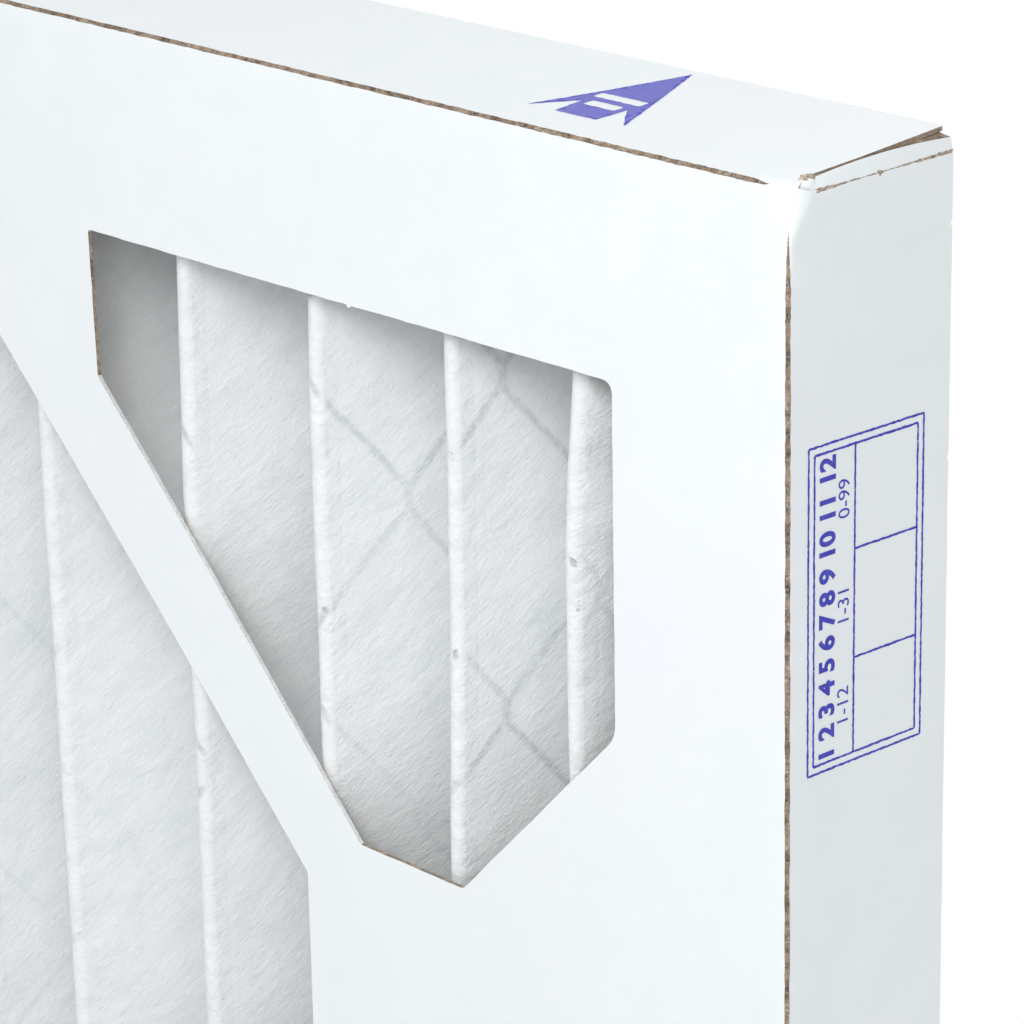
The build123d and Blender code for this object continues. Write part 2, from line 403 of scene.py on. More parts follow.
def windowRings(settings):
    s = settings
    inner = s["strapCrossing"] - s["strapHalfRun"]
    outer = s["strapCrossing"] + s["strapHalfRun"]
    corner = [(s["outerLeft"], s["top"]), (s["outerRight"], s["top"]),
              (s["outerRight"], s["outerRight"] - inner), (inner + s["foot"], s["foot"]),
              (outer - s["foot"] - s["strapTaper"], s["foot"]), (s["outerLeft"], outer - s["outerLeft"])]
    small = s["cornerRadius"]
    radii = [small, s["outerRadius"], s["outerRadius"], small, small, small]
    rings = []
    for index, (sx, sz) in enumerate(((1, 1), (-1, 1), (-1, -1), (1, -1))):
        points = [(sx * x, sz * z) for x, z in corner]
        rings.append(sampleRing(points, radii, s["edgeStep"], s["edgeWander"], 40 + index))
    tooth = [(-0.0007, 0.0), (-0.0003, -0.0005), (0.0003, -0.0006), (0.0007, 0.0)]
    before = next(k for k, point in enumerate(rings[0]) if point[0] > s["toothPlace"])
    rings[0][before:before] = [(s["toothPlace"] + x, s["top"] + y) for x, y in tooth]
    half = s["middleHalf"]
    flat = inner - s["top"]
    rise = inner - half
    middle = [(half, rise), (flat, s["top"]), (-flat, s["top"]), (-half, rise),
              (-half, -rise), (-flat, -s["top"]), (flat, -s["top"]), (half, -rise)]
    rings.append(sampleRing(middle, [small] * 8, s["edgeStep"], s["edgeWander"], 50))
    return rings


def insideRing(points, ring):
    # Even-odd test of many points against one ring
    x = points[:, 0][:, None]
    y = points[:, 1][:, None]
    ax, ay = np.array(ring).T
    bx, by = np.roll(ax, -1), np.roll(ay, -1)
    crosses = (ay > y) != (by > y)
    height = np.where(by == ay, 1e-12, by - ay)
    return (np.sum(crosses & (x < (bx - ax) * (y - ay) / height + ax), axis=1) % 2) == 1


def cutBlank(outline, windows, lines, gridStep, clearance, finePoints=(), fineClearance=0.0004):
    # Triangles of a flat blank, with its drawn lines kept as edges
    points = []
    edges = []
    for index, chain in enumerate([outline] + windows + lines):
        first = len(points)
        points += chain
        last = len(points) - 1
        edges += [(k, k + 1) for k in range(first, last)]
        if index <= len(windows):
            edges.append((last, first))
    tree = kdtree.KDTree(len(points))
    for index, (x, y) in enumerate(points):
        tree.insert((x, y, 0), index)
    tree.balance()
    low = np.min(outline, axis=0)
    high = np.max(outline, axis=0)
    columns, rows = ((high - low) / gridStep).astype(int)
    gridPoints = [(low[0] + (i + 0.5 * (k % 2)) * gridStep, low[1] + k * gridStep)
                  for i in range(columns + 1) for k in range(rows + 1)]
    for places, apart in ((gridPoints, clearance), (finePoints, fineClearance)):
        points += [(x, y) for x, y in places if tree.find((x, y, 0))[2] > apart]
    flat = [Vector(point) for point in points]
    verts, _, faces, _, _, _ = delaunay_2d_cdt(flat, edges, [], 0, 1e-7)
    verts = np.array([tuple(v) for v in verts])
    faces = np.array(faces)
    centres = verts[faces].mean(axis=1)
    keep = insideRing(centres, outline)
    for ring in windows:
        keep &= ~insideRing(centres, ring)
    used, faces = np.unique(faces[keep], return_inverse=True)
    faces = faces.reshape(-1, 3)
    verts = verts[used]
    ab = verts[faces[:, 1]] - verts[faces[:, 0]]
    ac = verts[faces[:, 2]] - verts[faces[:, 0]]
    turned = ab[:, 0] * ac[:, 1] - ab[:, 1] * ac[:, 0] < 0
    faces[turned] = faces[turned][:, ::-1]
    return verts, faces


def ease(value, low, high):
    t = np.clip((value - low) / (high - low), 0, 1)
    return t * t * (3 - 2 * t)


def bend(along, start, half, notch):
    # A fold at start: straight up to start - half, straight down from start + half
    turn = np.clip((along - start + half) / (2 * half), 0, 1)
    angle = turn * math.pi / 2
    flatPart = np.minimum(along, start - half)
    runRound = half * np.sin(angle)
    sinkRound = half * (1 - np.cos(angle))
    dip = 0.28 * half * np.sin(math.pi * turn)
    runNotch = half * turn - dip * 0.7
    sinkNotch = half * turn + dip * 0.7
    run = flatPart + np.where(turn > 0, runRound + notch * (runNotch - runRound), 0)
    sink = sinkRound + notch * (sinkNotch - sinkRound) + np.maximum(along - start - half, 0)
    return run, sink


def sideBend(fromEnd, settings):
    # Half width of a side fold: much softer towards the corners, and past the end less so again
    down = 1 - ease(fromEnd, 0.0005, settings["sideNotchStop"] + 0.004)
    softness = settings["cornerSoftness"] * down * (1 - ease(-fromEnd, 0.0, 0.005))
    return settings["notchHalf"] + softness


def endBend(fromSide, settings):
    # Half width of a top or bottom fold, and how much of it is cut open as a notch
    notch = ease(fromSide, settings["topNotchStop"], settings["topNotchStop"] + settings["topNotchFade"])
    return settings["notchHalf"] + settings["endSoftness"] * (1 - notch), notch


def scoreLevel(back, settings):
    # Height of a tab's score, back from the front face
    share = (back - settings["tabStart"]) / (2 * halfDepth - settings["tabStart"])
    return middleHeight - settings["scoreDrop"] + settings["scoreRise"] * share, np.clip(share, 0, 1)


def scoreBurr(back, length):
    return np.exp(-((back - blankSettings["burrPlace"]) / length) ** 2)


def scoreHalf(back, share):
    # Half the width of the opened score: wide at both ends, with one burr
    burr = 0.00032 * scoreBurr(back, 0.0005)
    return 0.00012 + 0.0003 * (np.exp(-(share / 0.16) ** 2) + 0.8 * ease(share, 0.55, 1.0)) + burr


def tabStrip(share, upper):
    # The strip of a tab between its score and where it turns in: width, and how far it leans in
    width = np.where(upper, 0.00245 + 0.00364 * share - 0.00347 * share ** 2, 0.00264)
    return width, np.where(upper, 0.0012 - 0.0011 * share, 0.00256)


def flapLift(back):
    # How far the top flap has sprung up, back from the front face
    return flapRise * np.clip(back / (2 * halfDepth), 0, 1) ** 1.3


def strapSag(u, v, bow):
    # The straps and the windows' edges bow inwards a little, as a folded face does
    side = np.clip(np.abs(u) / windowSettings["bowSide"], 0, 1)
    level = np.clip(np.abs(v) / windowSettings["bowEnd"], 0, 1)
    return bow * (1 - side ** 4) * (1 - level ** 2)


def foldFront(u, v, settings):
    # Place of a point of the front blank: u from the middle of the face, v from the middle height
    s = settings
    side = np.abs(u)
    level = np.abs(v)
    back = side - halfWidth
    upper = v > 0
    sideNotch = ease(middleHeight - level, s["sideNotchStop"], s["sideNotchStop"] + s["sideNotchFade"])
    run, sinkSide = bend(side, halfWidth, sideBend(middleHeight - level, s), sideNotch)
    rise, sinkEnd = bend(level, middleHeight, *endBend(-back, s))
    # Tabs of the side flaps turn in above their score, and follow the sprung top flap
    onSide = back > 0.0002
    score, share = scoreLevel(back, s)
    past = np.maximum(level - score, 0)
    width, lean = tabStrip(share, upper)
    strip = np.minimum(past, width)
    inward = np.maximum(past - width, 0)
    tabRise = score + strip * np.sqrt(1 - (lean / width) ** 2)
    under = middleHeight + flapLift(back) - board - s["skin"]
    tabRise = np.where(upper, tabRise + (under - tabRise) * ease(inward, 0, s["tabBend"]), tabRise)
    tabIn = strip * lean / width + inward
    tabbed = onSide & (past > 0) & (back > s["tabStart"] - 0.0012)
    # The end folds fade out over the soft corner, and the side flaps have none
    upright = ease(back, -0.0045, 0.0035)
    upright = np.where(onSide, np.where(level > middleHeight - 0.0005, 1, upright),
                       upright * (1 - ease(level - middleHeight, -0.001, 0.0015)))
    rise = np.where(tabbed, tabRise, rise + (level - rise) * upright)
    run = np.where(tabbed, run - tabIn, run)
    sinkEnd = sinkEnd * (1 - upright)
    x = np.sign(u) * run
    z = middleHeight + np.sign(v) * rise
    onTop = upper & ~onSide & (level > middleHeight)
    z = z + np.where(onTop, flapLift(sinkEnd), 0)
    # The top flap's end curls down over the side just behind the front fold
    curl = s["curl"] * ease(back, -0.0035, 0) * (1 - ease(level - middleHeight, 0.002, 0.006))
    z = z - np.where(upper & ~onSide, curl * ease(level, middleHeight - 0.004, middleHeight), 0)
    ripple = s["ripple"] * (1 + np.sin(u * 31 + 0.7) * np.sin(v * 37 + 1.9))
    flatFace = (1 - ease(back, -s["margin"], 0)) * (1 - ease(level - middleHeight, -s["margin"], 0))
    y = -halfDepth + sinkSide + sinkEnd + (strapSag(u, v, s["bow"]) + ripple) * flatFace
    # The side flaps lean in by a hair between the corners
    hollow = s["hollow"] * (1 - (level / middleHeight) ** 2) * ease(sinkSide, 0.0, 0.01)
    x = x - np.sign(u) * np.where(onSide, hollow, 0)
    return np.stack([x, y, z], axis=1)


def frontOutline(settings):
    # One corner of the blank, from the right end of the side flap round to the end of the top flap.
    # Each point is given from where the two folds of the face would cross.
    depth = 2 * halfDepth
    right = depth - 0.0002
    tabFront = settings["tabStart"]
    frontScore, rearScore = (scoreLevel(back, settings)[0] - middleHeight for back in (tabFront, depth))
    tabTop = settings["tabLength"]
    flapEnd = -settings["endGap"]
    corner = [
        (right, -0.0620), (right - 0.0005, -0.0614), (right, -0.0606),
        (right, -0.0160), (right - 0.0004, -0.0152), (right, -0.0145),
        (right, rearScore + 0.0002), (right - 0.0003, rearScore + 0.0008),
        (right - 0.0004, 0.006), (right - 0.006, tabTop),
        (tabFront + 0.008, tabTop - 0.001), (tabFront + 0.001, 0.006),
        (tabFront, frontScore + 0.0012), (tabFront - 0.0008, frontScore + 0.0001),
        (tabFront - 0.0020, frontScore + 0.0003), (0.0030, -0.0012),
        (0.0006, -0.0007), (-0.0001, 0.0010), (-0.0004, 0.0030),
        (flapEnd + 0.0009, 0.0054), (flapEnd, 0.0090),
        (flapEnd, depth - 0.0006), (flapEnd - 0.0004, depth - 0.0002),
    ]
    return [(halfWidth + x, middleHeight + y) for x, y in corner]


def denseChain(corners, step, wander, seed):
    chance = random.Random(seed)
    chain = []
    for start, end in zip(corners, corners[1:] + corners[:1]):
        run = Vector(end) - Vector(start)
        if run.length == 0:
            continue
        side = Vector((-run.y, run.x)).normalized()
        pieces = max(1, round(run.length / step))
        for k in range(pieces):
            shift = chance.uniform(-wander, wander) if k else 0
            chain.append(tuple(Vector(start) + run * k / pieces + side * shift))
    return chain


def mirrorCorner(corner):
    ring = corner + [(-x, y) for x, y in reversed(corner)]
    return ring + [(-x, -y) for x, y in ring[:len(corner)]] + [(x, -y) for x, y in reversed(corner)]


def notchRings(settings):
    # Outlines of the four cut-score notches: uneven, and pointed at both ends
    s = settings
    chance = random.Random(12)
    rings = []
    # Reach from the middle, place of the fold, taper, number of points, and whether it lies level
    cases = ((middleHeight - s["sideNotchStop"], halfWidth, s["sideTaper"], s["sidePoints"], False),
             (halfWidth - s["topNotchStop"], middleHeight, s["topTaper"], s["endPoints"], True))
    for reach, fold, taper, count, turned in cases:
        for sign in (1, -1):
            runs = reach * np.sin(np.linspace(-1, 1, count) * math.pi / 2)[1:-1]
            fromTip = reach - np.abs(runs)
            half = s["notchHalf"] * np.clip(fromTip / taper, 0.03, 1) ** 0.8
            rough = 0.00011 * ease(fromTip, 0.0, 0.012)
            outer = [fold + h + r * chance.uniform(-1, 1) for h, r in zip(half, rough)]
            inner = [fold - h + r * chance.uniform(-1, 1) for h, r in zip(half, rough)]
            ring = [(fold, -reach)] + list(zip(outer, runs)) + [(fold, reach)]
            ring += list(zip(inner, runs))[::-1]
            rings.append([(run, sign * a) if turned else (sign * a, run) for a, run in ring])
    return rings


def foldLines(settings, sideReach, endReach):
    # Lines of the blank along each fold: its middle, and just outside its bend
    beside = 0.0003
    lines = []
    for sign in (1, -1):
        levels = sideReach * np.sin(np.linspace(-1, 1, settings["sidePoints"]) * math.pi / 2)
        half = sideBend(middleHeight - np.abs(levels), settings) + beside
        for share in (-1, 0, 1):
            lines.append([(sign * (halfWidth + share * h), level) for h, level in zip(half, levels)])
        runs = endReach * np.sin(np.linspace(-1, 1, settings["endPoints"]) * math.pi / 2)
        half = endBend(halfWidth - np.abs(runs), settings)[0] + beside
        for share in (-1, 0, 1):
            lines.append([(run, sign * (middleHeight + share * h)) for h, run in zip(half, runs)])
    return lines


def scoreLines(settings):
    # Two uneven lines along each tab's score, and one where the tab turns in
    lines = []
    chance = random.Random(21)
    backs = np.linspace(settings["tabStart"] + 0.0003, 2 * halfDepth - 0.0009, 70)
    score, share = scoreLevel(backs, settings)
    half = scoreHalf(backs, share)
    spread = 0.00012 + 0.0003 * scoreBurr(backs, 0.001)
    for sx in (1, -1):
        for sz in (1, -1):
            width, _ = tabStrip(share, sz > 0)
            jitter = np.array([chance.uniform(-1, 1) for _ in backs])
            upper = score + half + spread * np.maximum(jitter, -0.6)
            lower = score - half + spread * np.minimum(jitter[::-1], 0.6)
            for levels in (upper, lower, score + width):
                lines.append([(sx * (halfWidth + back), sz * level) for back, level in zip(backs, levels)])
    return lines


def cornerPoints():
    # Fine points round each corner of the face, where the folds meet in a soft bend
    return [(sx * (halfWidth - 0.0090 + i * 0.0010), sz * (middleHeight - 0.0135 + k * 0.0010))
            for i in range(18) for k in range(15) for sx in (1, -1) for sz in (1, -1)]


def shadeBoard(piece, edgeIndex, crushedIndex):
    # Cut edges stay crisp; the slanting ones of the windows were crushed by the die and look paler
    mesh = piece.data
    mesh.set_sharp_from_angle(angle=math.radians(38))
    kinds = readValues(mesh.polygons, "material_index", 1, np.int32)[:, 0]
    normals = np.abs(readValues(mesh.polygons, "normal", 3))
    slanted = (kinds == edgeIndex) & (normals[:, 0] > 0.35) & (normals[:, 2] > 0.35)
    kinds[slanted] = crushedIndex
    mesh.polygons.foreach_set("material_index", kinds)


def makeFrontBoard():
    s = blankSettings
    outline = denseChain(mirrorCorner(frontOutline(s)), 0.006, 0.00006, 3)
    notches = notchRings(s)
    lines = foldLines(s, middleHeight - 0.0022, halfWidth - 0.0046) + scoreLines(s)
    lines += [ring + ring[:1] for ring in notches]
    verts, faces = cutBlank(outline, windowRings(windowSettings), lines, s["gridStep"], s["clearance"],
                            cornerPoints())
    # Materials by the order of this list: the face, opened folds, the score, the inside and the edges
    materials = [coatMaterial, kraftMaterial, tornMaterial, linerMaterial, edgeMaterial, crushedMaterial]
    centre = verts[faces].mean(axis=1)
    level = np.abs(centre[:, 1])
    back = np.abs(centre[:, 0]) - halfWidth
    score, share = scoreLevel(back, s)
    width, _ = tabStrip(share, centre[:, 1] > 0)
    onTab = back > s["tabStart"]
    kinds = np.zeros(len(faces), dtype=int)
    kinds[onTab & (np.abs(level - score) < scoreHalf(back, share))] = 2
    kinds[onTab & (level > score + width + 0.0001)] = 1
    for ring in notches:
        kinds[insideRing(centre, ring)] = 1
    piece = meshPiece("frontBoard", foldFront(verts[:, 0], verts[:, 1], s), faces, materials, kinds)
    thicken(piece, board, 3, 4)
    for vert in piece.data.vertices:
        vert.co.z = max(vert.co.z, 0)
    shadeBoard(piece, 4, 5)
    finishPiece(piece, "coated_board", "front_frame")
    return piece


frontBoard = makeFrontBoard()
print("front board", len(frontBoard.data.polygons), "faces")


# A torn flake of board, curled over at the front end of the top flap
flakeSettings = {
    # back from the front face, height from the top, in from the side
    "corners": ((0.0034, -0.0012, 0.0019), (0.0072, -0.0031, 0.0002),
                (0.0094, 0.0002, 0.0012), (0.0056, 0.0008, 0.0021)),
    "bulge": 0.0007,
    "steps": 8,
    "thickness": 0.0004,
    "arch": 0.0004,
    "rough": 0.00007,
    "edgeRough": 0.00016,
}


def makeFlake(settings):
    s = settings
    count = s["steps"] + 1
    lowLeft, lowRight, highRight, highLeft = (np.array(corner) for corner in s["corners"])
    chance = random.Random(33)
    points = []
    for row in range(count):
        q = row / s["steps"]
        for column in range(count):
            p = column / s["steps"]
            low = lowLeft + (lowRight - lowLeft) * p
            high = highLeft + (highRight - highLeft) * p
            back, level, inset = low + (high - low) * q
            inset -= s["bulge"] * math.sin(math.pi * p) * math.sin(math.pi * q)
            rough = s["edgeRough"] if p in (0.0, 1.0) or q in (0.0, 1.0) else s["rough"]
            level += chance.uniform(-rough, rough) + s["arch"] * math.sin(math.pi * p) * q
            inset += chance.uniform(0, rough)
            points.append((halfWidth - max(inset, 0.00002), -halfDepth + back, boxTop + level))
    steps = range(s["steps"])
    kinds = [int(row >= s["steps"] - 2 - (column < 3)) for row in steps for column in steps]
    flake = meshPiece("tornFlake", points, gridFaces(count, count),
                      [coatMaterial, tornMaterial, edgeMaterial], kinds)
    thicken(flake, s["thickness"], 0, 2)
    finishPiece(flake, "coated_board")


makeFlake(flakeSettings)


# The back half of the frame, nested inside the flaps of the front one
backSettings = {
    "halfWidth": backHigh.x,
    "top": backHigh.z - middleHeight,
    "bottom": middleHeight - backLow.z,
    "reach": backHigh.y - backLow.y,
    "bendHalf": 0.0008,
    "trim": 0.0105,  # the flaps' ends are cut back here, behind the soft corners of the front
    "bow": 0.0011,
    "ripple": 0.00015,
    "margin": 0.02,
}


def foldBack(u, v, settings):
    s = settings
    side = np.abs(u)
    run, sinkSide = bend(side, s["halfWidth"], s["bendHalf"], 0)
    end = np.where(v > 0, s["top"], s["bottom"])
    rise, sinkEnd = bend(np.abs(v), end, s["bendHalf"], 0)
    onSide = side > s["halfWidth"] - s["bendHalf"]
    sinkEnd = np.where(onSide, 0, sinkEnd)
    rise = np.where(onSide, np.minimum(np.abs(v), end - 0.0003), rise)
    ripple = s["ripple"] * (1 + np.sin(u * 27 + 2.1) * np.sin(v * 33 + 0.4))
    flatFace = 1 - ease(side, s["halfWidth"] - s["margin"], s["halfWidth"])
    y = halfDepth - sinkSide - sinkEnd - (strapSag(u, v, s["bow"]) + ripple) * flatFace
    return np.stack([np.sign(u) * run, y, middleHeight + np.sign(v) * rise], axis=1)


def makeBackBoard():
    s = backSettings
    half = s["halfWidth"]
    reach = s["reach"]
    ends = {1: s["top"], -1: s["bottom"]}
    upper, lower = (
        [(half + reach, sign * (end - s["trim"] - 0.003)), (half + reach - s["trim"], sign * (end - 0.0012)),
         (half + 0.001, sign * (end - 0.0012)), (half - 0.0016, sign * (end + 0.0006)),
         (half - 0.0022, sign * (end + reach - s["trim"])), (half - 0.0022 - s["trim"], sign * (end + reach))]
        for sign, end in ends.items())
    ring = upper + [(-x, y) for x, y in reversed(upper)] + [(-x, y) for x, y in lower] + lower[::-1]
    outline = denseChain(ring, 0.007, 0.00005, 8)
    lines = []
    levels = np.linspace(-s["bottom"] + 0.004, s["top"] - 0.004, 60)
    runs = np.linspace(-half + 0.004, half - 0.004, 90)
    for beside in (-s["bendHalf"], 0, s["bendHalf"]):
        for sign, end in ends.items():
            lines.append([(sign * (half + beside), level) for level in levels])
            lines.append([(run, sign * (end + beside)) for run in runs])
    verts, faces = cutBlank(outline, windowRings(windowSettings), lines, blankSettings["gridStep"],
                            blankSettings["clearance"])
    piece = meshPiece("backBoard", foldBack(verts[:, 0], verts[:, 1], s), faces[:, ::-1],
                      [coatMaterial, linerMaterial, edgeMaterial, crushedMaterial])
    thicken(piece, board, 1, 2)
    shadeBoard(piece, 2, 3)
    finishPiece(piece, "coated_board", "back_frame")
    return piece


backBoard = makeBackBoard()
print("back board", len(backBoard.data.polygons), "faces")


# The pleated sheet: a section of straight runs and round tips, followed by media and metal alike
pleatSettings = {
    "tipCount": 30,
    "firstTip": -0.29615,
    "halfPitch": 0.0204241,
    "tipPlane": 0.019075,  # outside of the sheet at its tips
    "thickness": 0.0012,
    "tipRadius": 0.0019,  # of the sheet's middle
    "tailReach": 0.3085,
    "bottom": mediaLow.z,
    "top": mediaHigh.z,
    "rows": 134,
    "wander": 0.0003,
    "billow": 0.0006,
    "bellyTip": 27,  # the run after this tip bellies out near the tip,
    "belly": 0.0024,  # by this much,
    "bellyLow": 0.285,  # between these heights
    "bellyHigh": 0.352,
}

# Shift of a tip to the right, in mm, at heights in mm, where the photograph shows the pleats uneven.
# Tips further left, which it doesn't show, even out the spacing again.
shiftedTips = {
    13: [(0, -1.5)], 14: [(0, -2.5)], 15: [(0, -4)], 16: [(0, -6)], 17: [(0, -8.5)], 18: [(0, -11)],
    19: [(150, -12.6), (245, -13.9), (308, -14.2), (350, -14.0)],
    20: [(0, -9)],
    21: [(100, -3.5), (181, -4.0), (235, -3.2), (292, -4.0), (347, -2.0)],
    22: [(0, -2.4)],
    23: [(100, -0.8), (239, -1.2), (270, -0.6), (292, -1.3), (344, -0.2)],
    24: [(0, -0.3)],
    25: [(150, -0.8), (232, -1.5), (265, -0.3), (294, 0.2), (310, 0.5), (345, 0.6)],
    26: [(100, -0.8), (200, -2.5), (330, -2.8)],
    27: [(60, -0.6), (180, -3.2), (267, -6.3), (314, -6.5), (335, -4.2), (346, -2.6)],
    28: [(60, -0.3), (200, -1.5), (320, -2.6)],
}


def pleatNumbers(settings):
    s = settings
    depth = s["tipPlane"] - s["thickness"] / 2 - s["tipRadius"]
    reach = math.hypot(s["halfPitch"], 2 * depth)
    lean = math.atan2(s["halfPitch"], 2 * depth) - math.asin(2 * s["tipRadius"] / reach)
    straight = math.sqrt(reach ** 2 - 4 * s["tipRadius"] ** 2)
    arc = s["tipRadius"] * (math.pi - 2 * lean)
    return depth, lean, straight, arc


pleatDepth, pleatLean, straightRun, arcRun = pleatNumbers(pleatSettings)
tipStep = straightRun + arcRun


def pleatPoints(along, height, offset):
    # Places on the sheet: along from the first tip, offset outwards from the sheet's middle
    s = pleatSettings
    tip = np.clip(np.round(along / tipStep), 0, s["tipCount"] - 1)
    local = along - tip * tipStep
    forward = np.where(tip % 2 == 1, -1.0, 1.0)  # odd tips point to the front
    turn = np.clip(local, -arcRun / 2, arcRun / 2) / s["tipRadius"]
    rest = np.maximum(np.abs(local) - arcRun / 2, 0) * np.sign(local)
    tangentX = np.cos(turn)
    tangentY = -forward * np.sin(turn)
    x = s["firstTip"] + tip * s["halfPitch"] + s["tipRadius"] * np.sin(turn) + rest * tangentX
    y = forward * (pleatDepth + s["tipRadius"] * np.cos(turn)) + rest * tangentY
    # Tips wander, and the runs between two tips follow both
    low = np.clip(np.floor(along / tipStep), 0, s["tipCount"] - 1)
    high = np.clip(low + 1, 0, s["tipCount"] - 1)
    share = np.clip(along / tipStep - low, 0, 1)
    x = x + tipShift(low, height) * (1 - share) + tipShift(high, height) * share
    bellyShape = (ease(height, s["bellyLow"], s["bellyLow"] + 0.02)
                  * (1 - ease(height, s["bellyHigh"] - 0.012, s["bellyHigh"]))
                  * (1 + 0.35 * wave(height, 91, 0.008, 0.03)) * np.exp(-((share - 0.25) / 0.13) ** 2))
    outwards = (offset + np.sin(math.pi * share) ** 2 * panelBillow(low, height)
                + np.where(low == s["bellyTip"], s["belly"] * bellyShape, 0))
    return np.stack([x + outwards * tangentY, y - outwards * tangentX, height], axis=1)


def tipShift(tips, height):
    s = pleatSettings
    total = np.zeros_like(height)
    for tip in np.unique(tips):
        chosen = tips == tip
        heights = height[chosen]
        shift = s["wander"] * wave(heights, 100 + int(tip), 0.03, 0.25)
        if int(tip) in shiftedTips:
            levels, amounts = np.array(shiftedTips[int(tip)]).T / 1000
            for step in (-0.012, -0.004, 0.004, 0.012):
                shift = shift + np.interp(heights + step, levels, amounts) / 4
        total[chosen] = shift
    return total


def panelBillow(panels, height):
    total = np.zeros_like(height)
    for panel in np.unique(panels):
        chosen = panels == panel
        total[chosen] = pleatSettings["billow"] * wave(height[chosen], 300 + int(panel), 0.02, 0.12)
    return total


# Expanded metal: diamonds of the opened sheet, long way up
gridSettings = {
    "cellWidth": 0.052,
    "cellHeight": 0.072,
    "bondShare": 0.878,  # share of the height over which a strand slants
    "wireWidth": 0.0015,
    "wireThickness": 0.0005,
    "nodeTip": 25,  # a joint of the strands lies on the run after this tip,
    "nodePast": 0.0113,  # this far along from it
    "nodeHeight": 0.2645,
    "pointStep": 0.0024,
    "endGap": 0.001,  # from the sheet's upper and lower edge
    # How clearly it shows through some runs of the sheet, and where that is weaker lower down
    "shows": {17: 0.3, 18: 0.2, 19: 0.12, 20: 0.1, 21: 0.1, 22: 0.4, 23: 1.0, 24: 1.0, 25: 1.0, 26: 0.8,
              27: 0.6},
    "fade": 0.65,
    "fadeHeights": (0.235, 0.262),
    "fadeRuns": (20, 25),
}


def swingAcross(height, cellHeight, bondShare):
    # How a strand swings to and fro with height: from -1 to 1, flat where it is bonded
    half = times(cellHeight, 0.5)
    saw = minus(times(over(doMath("PINGPONG", height, half), half), 2.0), 1.0)
    return doMath("MAXIMUM", doMath("MINIMUM", over(saw, bondShare), 1.0), -1.0)


def makeMetalLinesGroup():
    # Mask of the metal's strands on the sheet's own map, by the same rule as the strands themselves
    numbers = {"Cell Width": 0.06, "Cell Height": 0.06, "Bond Share": 0.9, "Line Width": 0.002,
               "Softness": 0.001}
    group, start, end = newGroup("metalLines", numbers, ["Line", "Halo"])
    parts = addNode(group, "ShaderNodeSeparateXYZ", {"Vector": start["Vector"]}).outputs
    half = times(start["Cell Width"], 0.5)
    swing = swingAcross(parts["Y"], start["Cell Height"], start["Bond Share"])
    strand = times(plus(swing, 1.0), times(half, 0.5))
    across = doMath("PINGPONG", parts["X"], half)
    gap = times(doMath("ABSOLUTE", minus(across, strand)), 0.72)
    width = times(start["Line Width"], 0.5)
    line = scaleRange(over(minus(gap, width), start["Softness"]), 0.0, 1.0, 1.0, 0.0)
    setInputs(end, {"Line": line, "Halo": scaleRange(over(gap, width), 1.0, 5.0, 1.0, 0.0)})
    return group


metalLinesGroup = makeMetalLinesGroup()

mediaLook = {
    "bright": (0.850, 0.868, 0.878),
    "dull": (0.730, 0.763, 0.775),
    "warm": (0.838, 0.840, 0.842),
    # colour of the painted highlight along the crests
    "crestHighlight": (0.872, 0.892, 0.904),
    "line": (0.46, 0.50, 0.52),
    "core": 0.0007,
    "streakAngle": 38,  # degrees up from level
    # Dents on the crests, with their shade painted dark: tip, height, and how far along past the tip
    "nicks": ((25, 0.3212, 0.0006), (25, 0.2778, 0.0002), (27, 0.3062, 0.0008), (27, 0.2975, 0.0016),
              (23, 0.2765, 0.0006), (15, 0.2300, 0.0005), (19, 0.1210, 0.0007), (9, 0.0870, 0.0004)),
}


